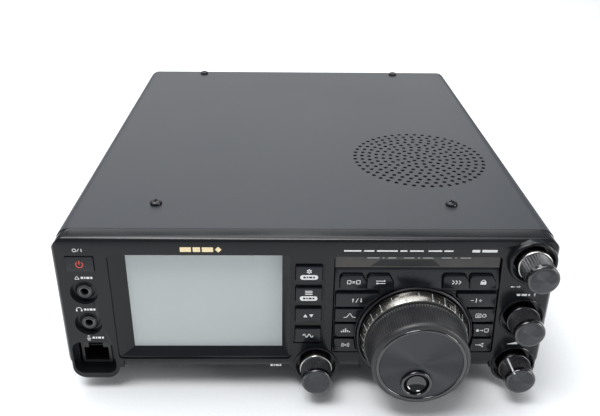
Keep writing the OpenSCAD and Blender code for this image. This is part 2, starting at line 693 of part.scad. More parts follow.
// ---- back of the set ----
module rear_panel() color([0.13, 0.13, 0.13]) stand() difference() {
    union() {
        difference() {
            front(chassis_y1, back_y) inner_outline(0.25);
            at(0, fan_z) rod_y(fan_bore_r, 240, 260);
        }
        // lugs under the covers for the rear screws
        for (p = rear_top_screws) translate([p[0], 243, 0])
            block([-5, 0, body_h - 6], [5, 7, body_h - sheet_t - 0.25]);
        for (x = rear_bottom_x) translate([x, 243, base_z]) block([-5, 0, sheet_t + 0.25], [5, 7, 6]);
        // fan guard
        at(0, fan_z) {
            for (r = [14, 20.5]) rotate([90, 0, 0]) translate([0, 0, -back_y]) difference() {
                cylinder(r = r, h = 2);
                translate([0, 0, -1]) cylinder(r = r - 1.6, h = 4);
            }
            rod_y(8.5, back_y - 2, back_y);
            for (a = [0:60:300]) rotate([0, a, 0])
                block([7, back_y - 2, -0.9], [fan_bore_r + 0.5, back_y, 0.9]);
        }
    }
    for (p = [hf_pos, vhf_pos]) at(p[0], p[1]) rod_y(6.3, 240, 260);
    for (p = din_pos) at(p[0], p[1]) rod_y(6.4, 240, 260);
    for (p = mini_pos) at(p[0], p[1]) rod_y(3.1, 240, 260);
    at(ground_pos[0], ground_pos[1]) rod_y(2.05, 240, 260);
    at(dc_pos[0], dc_pos[1]) front(240, 260) rect(-13.2, -7.7, 13.2, 7.7);
    at(serial_pos[0], serial_pos[1]) front(240, 260) rect(-9.4, -5, 9.4, 5);
    at(usb_pos[0], usb_pos[1]) front(240, 260) rect(-6.2, -5.6, 6.2, 5.6);
    for (s = [-1, 1], z = corner_z) at(s * corner_x, z) rod_y(clear_r, 240, 260);
    for (p = rear_top_screws) translate([p[0], p[1], 0]) rod_z(m3_r, 70, 80);
    for (x = rear_bottom_x) translate([x, rear_bottom_y, 0]) rod_z(m3_r, 0, 12);
}

module heat_sink() color([0.55, 0.56, 0.57]) stand() {
    z0 = deck_z + wall_t;
    block([-62, 180, z0], [62, 233, z0 + 4]);
    for (i = [0:14]) block([-60 + i * 8.4, 180, z0 + 3.9], [-58.2 + i * 8.4, 233, 74]);
}

module fan_frame() color([0.08, 0.08, 0.08]) stand() at(0, fan_z) {
    difference() {
        front(fan_y0, fan_y1) rrect(-fan_w / 2, -fan_w / 2, fan_w / 2, fan_w / 2, 3.5);
        rod_y(fan_bore_r, fan_y0 - 1, fan_y1 + 1);
        for (x = [-25, 25], z = [-25, 25]) at(x, z) rod_y(2.1, fan_y0 - 1, fan_y1 + 1);
    }
    rod_y(11, fan_y1 - 1.6, fan_y1);
    for (a = [20:90:290]) rotate([0, a, 0]) block([10, fan_y1 - 1.6, -1.2], [fan_bore_r + 0.8, fan_y1, 1.2]);
    rod_y(1.5, fan_y0 + 3, fan_y1 - 1);
}

module fan_rotor() color([0.1, 0.1, 0.1]) stand() at(0, fan_z) difference() {
    union() {
        rod_y(11.5, fan_y0 + 0.8, fan_y1 - 2.2);
        intersection() {
            rod_y(fan_bore_r - 0.8, fan_y0 + 0.9, fan_y1 - 2.3);
            for (a = [0:7]) rotate([0, a * 360 / 7, 0]) translate([0, fan_y0 + 5, 0]) rotate([38, 0, 0])
                block([10.5, -9, -0.6], [30, 9, 0.6]);
        }
    }
    rod_y(1.56, fan_y0 + 2.4, fan_y1);
}

// Square flange with four holes, for the two antenna sockets
module socket_flange() difference() {
    front(back_y, back_y + 1.8) rrect(-12.7, -12.7, 12.7, 12.7, 2);
    for (x = [-9, 9], z = [-9, 9]) at(x, z) rod_y(1.6, back_y - 1, back_y + 3);
}

module hf_antenna_socket() color([0.75, 0.76, 0.76]) stand() at(hf_pos[0], hf_pos[1]) {
    socket_flange();
    y = back_y;
    turned_back([[5.2, y - 8], [6.2, y - 8], [6.2, y + 1.7], [7.9, y + 1.7], [7.9, y + 14.4],
        [7.4, y + 14.9], [6.1, y + 14.9], [5.9, y + 14.5], [5.9, y + 5], [5.2, y + 5]]);
    turned_back([[0, y - 10], [5.15, y - 10], [5.15, y + 9], [3.4, y + 9], [3.4, y + 13.6], [2.0, y + 13.6],
        [2.0, y + 4], [0, y + 4]]);
}

module vhf_antenna_socket() color([0.78, 0.78, 0.77]) stand() at(vhf_pos[0], vhf_pos[1]) {
    socket_flange();
    y = back_y;
    turned_back([[5.2, y - 8], [6.2, y - 8], [6.2, y + 1.7], [7.9, y + 1.7], [7.9, y + 14.5],
        [7.4, y + socket_reach], [6.4, y + socket_reach], [6.4, y + 5], [5.2, y + 5]]);
    turned_back([[0, y - 10], [5.15, y - 10], [5.15, y + 3], [4.3, y + 3], [4.3, y + 10.4], [3.6, y + 10.4],
        [3.6, y + 4], [1.4, y + 4], [1.4, y + 9.6], [0.8, y + 10.2], [0.8, y + 4.5], [0, y + 4.5]]);
}

module dc_inlet() color([0.07, 0.07, 0.07]) stand() at(dc_pos[0], dc_pos[1]) difference() {
    union() {
        front(236, back_y) rect(-13, -7.5, 13, 7.5);
        front(back_y, back_y + 5.5) rrect(-14.5, -9, 14.5, 9, 1.5);
    }
    for (x = [-6.2, 6.2]) front(back_y - 9, back_y + 7) rrect(x - 4.9, -5.6, x + 4.9, 5.6, 1);
}

module ground_terminal() color([0.72, 0.7, 0.62]) stand() at(ground_pos[0], ground_pos[1]) {
    rod_y(2, 240, back_y + 12);
    difference() {
        union() {
            rod_y(4.5, back_y, back_y + 0.9);
            front(back_y + 0.9, back_y + 4.1) circle(4.04, $fn = 6);
        }
        rod_y(2, back_y - 1, back_y + 6);
    }
}

module accessory_sockets() color([0.06, 0.06, 0.06]) stand() for (p = din_pos) at(p[0], p[1]) {
    difference() {
        union() {
            rod_y(6.3, 238, back_y + 0.8);
            front(234.5, 240) rect(-7, -7, 7, 6);
        }
        rod_y(4.75, back_y - 8, back_y + 2);
    }
    difference() {
        rod_y(4.3, back_y - 8.5, back_y - 0.5);
        for (a = [30:60:330]) rotate([0, a, 0]) at(2.9, 0) rod_y(0.5, back_y - 6, back_y + 1);
        front(back_y - 6, back_y + 1) rect(-1.1, -1.4, 1.1, 0.2);
    }
}

module serial_port() color([0.7, 0.71, 0.71]) stand() at(serial_pos[0], serial_pos[1]) {
    y = back_y;
    difference() {
        union() {
            front(236, y + 0.1) rect(-9.2, -4.8, 9.2, 4.8);
            front(y, y + 1) rrect(-15.4, -6.2, 15.4, 6.2, 1.5);
            front(y + 0.5, y + 6) polygon([[-8.5, 4.1], [8.5, 4.1], [7, -4.1], [-7, -4.1]]);
        }
        front(y - 0.5, y + 7) polygon([[-8, 3.7], [8, 3.7], [6.6, -3.7], [-6.6, -3.7]]);
    }
    for (i = [0:4]) at(-5.5 + i * 2.75, 1.4) rod_y(0.5, y - 1, y + 5);
    for (i = [0:3]) at(-4.1 + i * 2.75, -1.4) rod_y(0.5, y - 1, y + 5);
    for (x = [-12.5, 12.5]) at(x, 0) difference() {
        front(y + 1, y + 6) circle(2.8, $fn = 6);
        rod_y(1.3, y, y + 8);
    }
}

module usb_port() color([0.72, 0.72, 0.72]) stand() at(usb_pos[0], usb_pos[1]) difference() {
    y = back_y;
    front(236, y + 0.8) rect(-6, -5.4, 6, 5.4);
    front(y - 10, y + 2)
        polygon([[-4.2, -3.9], [4.2, -3.9], [4.2, 2.4], [2.6, 3.9], [-2.6, 3.9], [-4.2, 2.4]]);
}

module rear_jacks() color([0.05, 0.05, 0.05]) stand() for (p = mini_pos) at(p[0], p[1]) difference() {
    union() {
        rod_y(3, 240, back_y + 3);
        rod_y(4.6, back_y, back_y + 2);
        front(236, chassis_y1 - 1) rect(-5, -5, 5, 5);
    }
    rod_y(1.8, 239, back_y + 5);
}

// ---- speaker ----
module speaker() color([0.15, 0.15, 0.15]) stand()
    translate([speaker_x, speaker_y, 0]) rotate_extrude($fn = 96)
    polygon([[0, 56], [16, 56], [16, 63], [19, 63], [27, 70], [31, 76.8], [33.5, 76.8],
        [33.5, body_h - sheet_t], [29.5, body_h - sheet_t], [29, 77.6], [14, 69.6], [8, 71.5], [0, 72.6]]);

// ---- feet and bail ----
module rubber_feet() color([0.06, 0.06, 0.06]) stand() for (x = [-foot_x, foot_x], y = foot_y)
    translate([x, y, 0]) rotate_extrude($fn = 64)
        polygon([[0, -lift + 4], [3.6, -lift + 4], [3.6, -lift], [7.6, -lift], [8.4, -lift + 0.8],
            [9.4, base_z - 1], [9.4, base_z], [0, base_z]]);

module bail_brackets() color([0.12, 0.12, 0.12]) stand() for (s = [-1, 1]) difference() {
    translate([s * (bail_x + 8), bail_y, 0]) intersection() {
        union() {
            block([-4, -4, bail_z], [4, 4, base_z]);
            translate([0, 0, bail_z]) rod_x(4, -4, 4);
            block([-4, -8, base_z - 1.6], [4, 8, base_z]);
        }
        block([-9, -9, -9], [9, 9, base_z]);
    }
    translate([0, bail_y, bail_z])
        rod_x(wire_r + 0.05, min(s * bail_x, s * (bail_x + 20)), max(s * bail_x, s * (bail_x + 20)));
}

module tilt_bail() color([0.35, 0.35, 0.36]) stand() translate([0, bail_y, bail_z]) {
    for (s = [-1, 1]) {
        rod_x(wire_r, min(s * bail_x, s * (bail_x + 11)), max(s * bail_x, s * (bail_x + 11)));
        translate([s * bail_x, 0, 0]) {
            sphere(wire_r);
            rod_y(wire_r, 0, bail_l);
        }
        translate([s * bail_x, bail_l, 0]) sphere(wire_r);
    }
    translate([0, bail_l, 0]) rod_x(wire_r, -bail_x, bail_x);
}

// ---- fasteners ----
module cover_screws() color([0.1, 0.1, 0.1]) stand() {
    for (p = concat(front_top_screws, rear_top_screws)) translate([p[0], p[1], body_h]) pan_screw(4.6);
    for (s = [-1, 1], y = side_screw_y)
        translate([s * right, y, side_screw_z]) rotate([0, s * 90, 0]) pan_screw(6);
    for (x = front_bottom_x) translate([x, front_bottom_y, base_z]) rotate([180, 0, 0]) pan_screw(4.6);
    for (x = rear_bottom_x) translate([x, rear_bottom_y, base_z]) rotate([180, 0, 0]) pan_screw(4.6);
    for (s = [-1, 1], z = corner_z) at(s * corner_x, z)
        translate([0, back_y, 0]) rotate([-90, 0, 0]) pan_screw(9);
}

module panel_screws() color([0.6, 0.6, 0.58]) stand() for (p = panel_post_at)
    translate([p[0], bulk_y + wall_t, p[1]]) rotate([-90, 0, 0]) pan_screw(9);

chassis();
top_cover();
bottom_cover();
rear_panel();
heat_sink();
front_panel();
dial_panel();
screen_window();
display_module();
indicator_window();
dial_ring();
dial_encoder();
knob_encoders();
gain_controls();
front_board();
main_board();
power_board();
shield_can();
speaker();
fan_frame();
front_jacks();
mic_socket();
hf_antenna_socket();
vhf_antenna_socket();
dc_inlet();
ground_terminal();
accessory_sockets();
serial_port();
usb_port();
rear_jacks();
rubber_feet();
bail_brackets();
cover_screws();
panel_screws();
main_dial();
dial_skirt();
finger_cup();
multi_knob();
clarifier_knob();
rf_gain_knob();
af_gain_knob();
fan_rotor();
tilt_bail();
power_key();
fn_key(0);  // function_key
fn_key(1);  // menu_key
fn_key(2);  // band_key
fn_key(3);  // mode_key
top_key(0);  // copy_key
top_key(1);  // swap_key
top_key(2);  // fast_key
top_key(3);  // lock_key
side_key(0, -1);  // recall_key
side_key(1, -1);  // tune_key
side_key(2, -1);  // scope_key
side_key(3, -1);  // watch_key
side_key(0, 1);  // clarifier_key
side_key(1, 1);  // memory_key
side_key(2, 1);  // store_key
side_key(3, 1);  // split_key
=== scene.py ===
# Looks of a compact radio transceiver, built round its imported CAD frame.
import math

import bmesh
import bpy
from mathutils import Matrix, Vector


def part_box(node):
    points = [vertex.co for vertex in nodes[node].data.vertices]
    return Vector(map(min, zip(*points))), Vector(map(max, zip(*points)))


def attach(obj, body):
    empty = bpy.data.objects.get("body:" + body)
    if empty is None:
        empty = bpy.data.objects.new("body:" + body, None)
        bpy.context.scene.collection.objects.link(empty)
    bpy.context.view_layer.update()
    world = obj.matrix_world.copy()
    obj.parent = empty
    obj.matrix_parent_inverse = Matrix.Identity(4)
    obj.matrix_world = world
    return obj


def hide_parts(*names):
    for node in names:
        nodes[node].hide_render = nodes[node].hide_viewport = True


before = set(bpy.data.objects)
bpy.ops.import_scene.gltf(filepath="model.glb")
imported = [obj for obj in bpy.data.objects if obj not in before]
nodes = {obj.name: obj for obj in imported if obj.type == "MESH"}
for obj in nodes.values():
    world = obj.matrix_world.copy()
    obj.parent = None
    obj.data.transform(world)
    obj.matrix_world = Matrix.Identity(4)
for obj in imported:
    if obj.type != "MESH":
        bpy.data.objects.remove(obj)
bpy.context.view_layer.update()

MM = 0.001
CASE = "case"
scene = bpy.context.scene


# ---- places, all taken from the frame ----
def lowest(node):
    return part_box(node)[0]


def highest(node):
    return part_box(node)[1]


def middle(node):
    low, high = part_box(node)
    return (low + high) / 2


COWL = 3 * MM
FACE_Y = lowest("front_panel").y + COWL
BACK_Y = highest("rear_panel").y
LIFT = 7


# ---- camera, light and floor ----
CAMERA_AT = Vector((-9.9 * MM, FACE_Y - 259.9 * MM, 240.7 * MM))
CAMERA_YAW, CAMERA_PITCH, CAMERA_ROLL = math.radians(-0.96), math.radians(25.9), math.radians(0.65)
CAMERA_LENS = 40.73


def make_camera():
    """Camera at the viewing angle; yaw and roll are small, and pitch looks down."""
    across = Vector((math.cos(CAMERA_YAW), math.sin(CAMERA_YAW), 0))
    level = Vector((-math.sin(CAMERA_YAW), math.cos(CAMERA_YAW), 0))
    ahead = math.cos(CAMERA_PITCH) * level - math.sin(CAMERA_PITCH) * Vector((0, 0, 1))
    upright = math.sin(CAMERA_PITCH) * level + math.cos(CAMERA_PITCH) * Vector((0, 0, 1))
    right = math.cos(CAMERA_ROLL) * across + math.sin(CAMERA_ROLL) * upright
    up = -math.sin(CAMERA_ROLL) * across + math.cos(CAMERA_ROLL) * upright
    data = bpy.data.cameras.new("camera")
    data.sensor_width = 36
    data.lens = CAMERA_LENS
    data.shift_x = 0.008
    data.shift_y = -0.0426
    data.clip_start = 0.01
    camera = bpy.data.objects.new("camera", data)
    scene.collection.objects.link(camera)
    camera.matrix_world = Matrix((right, up, -ahead)).transposed().to_4x4()
    camera.location = CAMERA_AT
    scene.camera = camera


def soft_light(name, at, size, power, colour=(1, 1, 1), aim=(0, 0, 0.04)):
    data = bpy.data.lights.new(name, "AREA")
    data.shape = "RECTANGLE"
    data.size, data.size_y = size
    data.energy = power
    data.color = colour
    light = bpy.data.objects.new(name, data)
    scene.collection.objects.link(light)
    light.location = at
    light.rotation_euler = (Vector(aim) - Vector(at)).to_track_quat("-Z", "Y").to_euler()


def make_light():
    world = bpy.data.worlds.new("studio")
    world.use_nodes = True
    background = world.node_tree.nodes["Background"]
    background.inputs["Color"].default_value = (0.93, 0.96, 1.0, 1)
    background.inputs["Strength"].default_value = 0.3
    scene.world = world
    soft_light("back_light", (-0.1, 1.2, 0.62), (1.6, 0.5), 4, (0.97, 0.98, 1.0))
    soft_light("top_light", (-0.2, 0.25, 1.35), (1.8, 1.5), 27)
    soft_light("key_light", (-0.3, -0.45, 1.2), (0.7, 0.3), 9)
    soft_light("side_light", (1.1, -0.6, 0.35), (0.3, 0.6), 6, (1.0, 0.99, 0.97))
    scene.view_settings.view_transform = "Standard"


def make_floor():
    bm = bmesh.new()
    bmesh.ops.create_grid(bm, x_segments=8, y_segments=8, size=5)
    floor = new_object("floor", bm, [floor_material()])


# ---- shader helpers ----
def node_material(name):
    made = bpy.data.materials.new(name)
    made.use_nodes = True
    tree = made.node_tree
    shader = tree.nodes["Principled BSDF"]
    return made, tree, shader


def add(tree, kind, **values):
    made = tree.nodes.new(kind)
    for key, value in values.items():
        if key in made.inputs:
            made.inputs[key].default_value = value
        else:
            setattr(made, key, value)
    return made


def noise(tree, size, detail=3.0, stretch=(1, 1, 1), rough=0.55):
    """Noise whose blots are about size metres across, in the object's own coordinates."""
    coords = add(tree, "ShaderNodeTexCoord")
    mapping = add(tree, "ShaderNodeMapping")
    mapping.inputs["Scale"].default_value = stretch
    made = add(tree, "ShaderNodeTexNoise", Scale=1 / size, Detail=detail, Roughness=rough)
    tree.links.new(coords.outputs["Object"], mapping.inputs["Vector"])
    tree.links.new(mapping.outputs["Vector"], made.inputs["Vector"])
    return made.outputs["Fac"]


def blend_colours(tree, factor, a, b):
    mix = add(tree, "ShaderNodeMix", data_type="RGBA")
    mix.inputs["A"].default_value = (*a, 1)
    mix.inputs["B"].default_value = (*b, 1)
    tree.links.new(factor, mix.inputs["Factor"])
    return mix.outputs["Result"]


def remap(tree, value, low, high, start=0.3, end=0.7):
    made = add(tree, "ShaderNodeMapRange")
    made.inputs["From Min"].default_value = start
    made.inputs["From Max"].default_value = end
    made.inputs["To Min"].default_value = low
    made.inputs["To Max"].default_value = high
    tree.links.new(value, made.inputs["Value"])
    return made.outputs["Result"]


def bumped(tree, shader, height, depth, strength=1.0, over=None):
    bump = add(tree, "ShaderNodeBump", Strength=strength, Distance=depth)
    tree.links.new(height, bump.inputs["Height"])
    if over:
        tree.links.new(over.outputs["Normal"], bump.inputs["Normal"])
    tree.links.new(bump.outputs["Normal"], shader.inputs["Normal"])
    return bump


def shades(colour, spread):
    return [min(1, c * (1 - spread)) for c in colour], [min(1, c * (1 + spread)) for c in colour]


def surface(name, colour, rough, grain=0.4 * MM, depth=0.01 * MM, spread=0.12, blot=14 * MM,
            rough_spread=0.06, metallic=0.0, specular=0.5, coat=0.0, stretch=(1, 1, 1)):
    """A surface with fine grain in its relief, and slow variation in its colour and gloss."""
    made, tree, shader = node_material(name)
    dark, light = shades(colour, spread)
    slow = noise(tree, blot, detail=4)
    fine = noise(tree, grain, detail=2, stretch=stretch)
    mixed = add(tree, "ShaderNodeMath", operation="ADD")
    tree.links.new(slow, mixed.inputs[0])
    tree.links.new(remap(tree, fine, -0.15, 0.15), mixed.inputs[1])
    tree.links.new(blend_colours(tree, remap(tree, mixed.outputs[0], 0, 1), dark, light), shader.inputs["Base Color"])
    tree.links.new(remap(tree, slow, rough - rough_spread, rough + rough_spread), shader.inputs["Roughness"])
    shader.inputs["Metallic"].default_value = metallic
    shader.inputs["Specular IOR Level"].default_value = specular
    shader.inputs["Coat Weight"].default_value = coat
    shader.inputs["Coat Roughness"].default_value = 0.12
    bumped(tree, shader, fine, depth)
    return made


def turned_metal(name, colour, rough, anisotropy, ring=0.12 * MM, depth=0.0005 * MM):
    """Metal turned on a lathe: fine rings round the piece's own Y axis, which spread its gloss across them."""
    made, tree, shader = node_material(name)
    coords = add(tree, "ShaderNodeTexCoord")
    rings = add(tree, "ShaderNodeTexWave", wave_type="RINGS", rings_direction="Y", Scale=0.05 / ring, Distortion=0.0)
    rings.inputs["Detail"].default_value = 2.0
    tree.links.new(coords.outputs["Object"], rings.inputs["Vector"])
    dark, light = shades(colour, 0.06)
    tree.links.new(blend_colours(tree, rings.outputs["Fac"], dark, light), shader.inputs["Base Color"])
    slow = noise(tree, 8 * MM)
    tree.links.new(remap(tree, slow, rough - 0.015, rough + 0.015), shader.inputs["Roughness"])
    shader.inputs["Metallic"].default_value = 1.0
    shader.inputs["Anisotropic"].default_value = anisotropy
    tangent = add(tree, "ShaderNodeTangent", direction_type="RADIAL", axis="Y")
    tree.links.new(tangent.outputs["Tangent"], shader.inputs["Tangent"])
    bumped(tree, shader, rings.outputs["Fac"], depth, 0.3)
    return made


# ---- materials ----
def floor_material():
    return surface("floor_paper", (0.76, 0.775, 0.79), 0.75, grain=1.5 * MM, depth=0.02 * MM, spread=0.02,
                   blot=0.3, rough_spread=0.03, specular=0.3)


def paint_material():
    """Sprayed fine-texture paint."""
    return surface("cover_paint", (0.026, 0.029, 0.0345), 0.42, grain=0.32 * MM, depth=0.012 * MM, spread=0.05,
                   blot=60 * MM, rough_spread=0.02, specular=0.3)


def screen_material():
    """Touch film: a milky, faintly glossy sheet that the display shows through."""
    made, tree, shader = node_material("screen_film")
    slow = noise(tree, 40 * MM, detail=2)
    tree.links.new(blend_colours(tree, slow, (0.585, 0.63, 0.635), (0.59, 0.635, 0.64)), shader.inputs["Base Color"])
    tree.links.new(remap(tree, noise(tree, 9 * MM), 0.29, 0.31), shader.inputs["Roughness"])
    shader.inputs["Alpha"].default_value = 0.55
    bumped(tree, shader, noise(tree, 0.2 * MM), 0.002 * MM)
    return made


def display_material():
    """Unlit liquid crystal: pale grey with faint columns of cells."""
    made, tree, shader = node_material("display_cells")
    cells = noise(tree, 0.25 * MM, detail=1, stretch=(1, 1, 0.02))
    tree.links.new(blend_colours(tree, cells, (0.65, 0.71, 0.72), (0.66, 0.72, 0.73)), shader.inputs["Base Color"])
    tree.links.new(remap(tree, noise(tree, 12 * MM), 0.34, 0.36), shader.inputs["Roughness"])
    return made


MATERIALS = {
    "cover_paint": paint_material(),
    "panel_plastic": surface("panel_plastic", (0.0065, 0.007, 0.0085), 0.2, grain=0.25 * MM, depth=0.0025 * MM,
                             spread=0.12, blot=30 * MM, rough_spread=0.03, specular=0.3),
    "trim_plastic": surface("trim_plastic", (0.007, 0.0075, 0.0105), 0.24, grain=0.2 * MM, depth=0.003 * MM,
                            spread=0.15, blot=12 * MM, specular=0.34),
    "screen_glass": screen_material(),
    "display": display_material(),
    "smoked_window": surface("smoked_window", (0.05, 0.046, 0.042), 0.2, grain=0.3 * MM, depth=0.002 * MM,
                             spread=0.2, blot=6 * MM, specular=0.4),
    "ring_metal": turned_metal("ring_metal", (0.06, 0.06, 0.065), 0.3, 0.3),
    "skirt_metal": turned_metal("skirt_metal", (0.26, 0.25, 0.23), 0.22, 0.3),
    "dial_face": turned_metal("dial_face", (0.06, 0.062, 0.067), 0.38, 0.95),
    "knob_face": turned_metal("knob_face", (0.07, 0.072, 0.078), 0.38, 0.95),
    "knob_collar": turned_metal("knob_collar", (0.62, 0.61, 0.59), 0.2, 0.4),
    "dark_collar": turned_metal("dark_collar", (0.11, 0.11, 0.115), 0.24, 0.4),
    "knob_rubber": surface("knob_rubber", (0.026, 0.0265, 0.028), 0.4, grain=0.15 * MM, depth=0.004 * MM,
                           spread=0.2, blot=8 * MM, specular=0.4),
    "knob_grip": surface("knob_grip", (0.024, 0.0245, 0.027), 0.26, grain=0.2 * MM, depth=0.002 * MM,
                         spread=0.2, blot=5 * MM, rough_spread=0.03, specular=0.9),
    "knob_gloss": surface("knob_gloss", (0.004, 0.004, 0.0055), 0.1, grain=0.3 * MM, depth=0.0006 * MM,
                          spread=0.2, blot=5 * MM, rough_spread=0.02, specular=1.0),
    "cup_gloss": surface("cup_gloss", (0.002, 0.002, 0.003), 0.08, grain=0.4 * MM, depth=0.0006 * MM, spread=0.2,
                         blot=4 * MM, rough_spread=0.02, specular=1.0),
    "cast_metal": surface("cast_metal", (0.45, 0.455, 0.46), 0.48, grain=0.5 * MM, depth=0.02 * MM, metallic=1.0),
    "rear_paint": surface("rear_paint", (0.02, 0.02, 0.022), 0.45, grain=0.3 * MM, depth=0.012 * MM, blot=25 * MM),
    "bright_metal": surface("bright_metal", (0.66, 0.65, 0.62), 0.2, grain=0.5 * MM, depth=0.002 * MM,
                            spread=0.06, blot=4 * MM, metallic=1.0),
    "plated_steel": surface("plated_steel", (0.6, 0.585, 0.53), 0.32, grain=0.3 * MM, depth=0.004 * MM,
                            spread=0.1, blot=6 * MM, metallic=1.0),
    "dark_steel": surface("dark_steel", (0.07, 0.07, 0.075), 0.33, grain=0.3 * MM, depth=0.004 * MM,
                          blot=9 * MM, metallic=0.8),
    "screw_black": surface("screw_black", (0.03, 0.03, 0.032), 0.26, grain=0.25 * MM, depth=0.004 * MM,
                           spread=0.25, blot=2 * MM, metallic=0.7),
    "socket_plastic": surface("socket_plastic", (0.012, 0.012, 0.013), 0.33, grain=0.25 * MM, depth=0.004 * MM,
                              spread=0.2, blot=6 * MM),
    "board_green": surface("board_green", (0.02, 0.11, 0.05), 0.35, grain=0.8 * MM, depth=0.01 * MM,
                           spread=0.35, blot=3 * MM),
    "control_body": surface("control_body", (0.16, 0.17, 0.18), 0.4, grain=0.4 * MM, blot=5 * MM),
    "speaker_frame": surface("speaker_frame", (0.015, 0.015, 0.016), 0.5, grain=0.5 * MM, depth=0.02 * MM),
    "foot_rubber": surface("foot_rubber", (0.018, 0.018, 0.018), 0.7, grain=0.3 * MM, depth=0.015 * MM,
                           specular=0.3),
    "legend_white": surface("legend_white", (0.72, 0.73, 0.73), 0.5, grain=0.12 * MM, depth=0.002 * MM,
                            spread=0.1, blot=1 * MM),
    "legend_grey": surface("legend_grey", (0.4, 0.41, 0.42), 0.5, grain=0.12 * MM, depth=0.002 * MM,
                           spread=0.1, blot=1 * MM),
    "legend_red": surface("legend_red", (0.62, 0.06, 0.035), 0.45, grain=0.12 * MM, depth=0.002 * MM,
                          spread=0.15, blot=1 * MM),
    "legend_gold": surface("legend_gold", (0.72, 0.6, 0.38), 0.3, grain=0.15 * MM, depth=0.002 * MM,
                           spread=0.1, blot=1.5 * MM, metallic=0.9),
}


# ---- mesh helpers ----
def new_object(name, bm, materials, at=(0, 0, 0), smooth_angle=None):
    """Turns a bmesh into an object; edges sharper than smooth_angle stay sharp."""
    bmesh.ops.recalc_face_normals(bm, faces=bm.faces)
    if smooth_angle is not None:
        for face in bm.faces:
            face.smooth = True
        for edge in bm.edges:
            edge.smooth = len(edge.link_faces) == 2 and edge.calc_face_angle(0) < smooth_angle
    mesh = bpy.data.meshes.new(name)
    bm.to_mesh(mesh)
    bm.free()
    made = bpy.data.objects.new(name, mesh)
    for material in materials:
        made.data.materials.append(material)
    made.location = at
    scene.collection.objects.link(made)
    return made


def piece(made, body, replaces=()):
    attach(made, body)
    if replaces:
        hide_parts(*replaces)
    return made


def lathe(name, outline, material, centre, segments=96, ribs=None):
    """Solid turned round the Y axis through centre. The outline's points are (radius, distance in front of
    the panel face) in mm, in order along the section; ribs(angle, index) takes off part of a radius."""
    bm = bmesh.new()
    rows = []
    for index, (radius, ahead) in enumerate(outline):
        if radius < 1e-6:
            rows.append([bm.verts.new((0, -ahead * MM, 0))])
            continue
        row = []
        for k in range(segments):
            angle = 2 * math.pi * k / segments
            r = (radius - (ribs(angle, index) if ribs else 0)) * MM
            row.append(bm.verts.new((r * math.sin(angle), -ahead * MM, r * math.cos(angle))))
        rows.append(row)
    closed = len(rows[0]) > 1 and len(rows[-1]) > 1
    pairs = list(zip(rows, rows[1:])) + ([(rows[-1], rows[0])] if closed else [])
    for a, b in pairs:
        for k in range(segments):
            n = (k + 1) % segments
            if len(a) == 1 and len(b) == 1:
                break
            if len(a) == 1:
                bm.faces.new((a[0], b[k], b[n]))
            elif len(b) == 1:
                bm.faces.new((a[k], b[0], a[n]))
            else:
                bm.faces.new((a[k], b[k], b[n], a[n]))
    return new_object(name, bm, [material], (centre.x, FACE_Y, centre.z), math.radians(50))


def refined(node, width, material, body, steps=2, angle=30):
    """A copy of a CAD node with its sharp edges rounded by width, which stands for that node."""
    bm = bmesh.new()
    bm.from_mesh(nodes[node].data)
    bmesh.ops.remove_doubles(bm, verts=bm.verts, dist=0.002 * MM)
    bmesh.ops.dissolve_limit(bm, angle_limit=math.radians(1), verts=bm.verts, edges=bm.edges)
    sharp = [e for e in bm.edges if len(e.link_faces) == 2 and e.calc_face_angle(0) > math.radians(angle)]
    bmesh.ops.bevel(bm, geom=sharp, offset=width, segments=steps, profile=0.5, affect="EDGES",
                    clamp_overlap=True, loop_slide=True)
    bmesh.ops.dissolve_degenerate(bm, dist=0.001 * MM, edges=bm.edges)
    bmesh.ops.triangulate(bm, faces=[f for f in bm.faces if len(f.verts) > 4])
    made = new_object(node + "_moulded", bm, [material], (0, 0, 0), math.radians(35))
    return piece(made, body, [node])


# ---- printed marks: flat outlines in mm round a middle point, x to the right and z up ----
def rectangle(x0, z0, x1, z1):
    return [(x0, z0), (x1, z0), (x1, z1), (x0, z1)]


def line(x0, z0, x1, z1, w=0.32):
    length = math.hypot(x1 - x0, z1 - z0)
    nx, nz = -(z1 - z0) / length * w / 2, (x1 - x0) / length * w / 2
    return [(x0 - nx, z0 - nz), (x1 - nx, z1 - nz), (x1 + nx, z1 + nz), (x0 + nx, z0 + nz)]


def path(points, w=0.32):
    return [line(*a, *b, w) for a, b in zip(points, points[1:])]


def disc(x, z, r, n=16):
    return [(x + r * math.cos(2 * math.pi * k / n), z + r * math.sin(2 * math.pi * k / n)) for k in range(n)]


def arc(x, z, r, start=0, end=360, w=0.32, n=20):
    """Ring or part of one; angles run anticlockwise from the right, in degrees."""
    def point(k, radius):
        angle = math.radians(start + (end - start) * k / n)
        return (x + radius * math.cos(angle), z + radius * math.sin(angle))
    return [[point(k, r - w / 2), point(k, r + w / 2), point(k + 1, r + w / 2), point(k + 1, r - w / 2)]
            for k in range(n)]


def frame_box(x0, z0, x1, z1, w=0.32):
    return path([(x0, z0), (x1, z0), (x1, z1), (x0, z1), (x0, z0)], w)


def arrow(x0, z0, x1, z1, head=0.75, w=0.34):
    length = math.hypot(x1 - x0, z1 - z0)
    ux, uz = (x1 - x0) / length, (z1 - z0) / length
    bx, bz = x1 - ux * head, z1 - uz * head
    tip = [(x1, z1), (bx - uz * head * 0.75, bz + ux * head * 0.75), (bx + uz * head * 0.75, bz - ux * head * 0.75)]
    return [line(x0, z0, bx, bz, w), tip]


def shifted(shapes, dx, dz):
    return [[(x + dx, z + dz) for x, z in shape] for shape in shapes]


def pill(w, h):
    r = h / 2
    ends = [(w / 2 - r + r * math.sin(math.radians(a)), -r * math.cos(math.radians(a))) for a in range(0, 181, 15)]
    return ends + [(-x, -z) for x, z in ends]


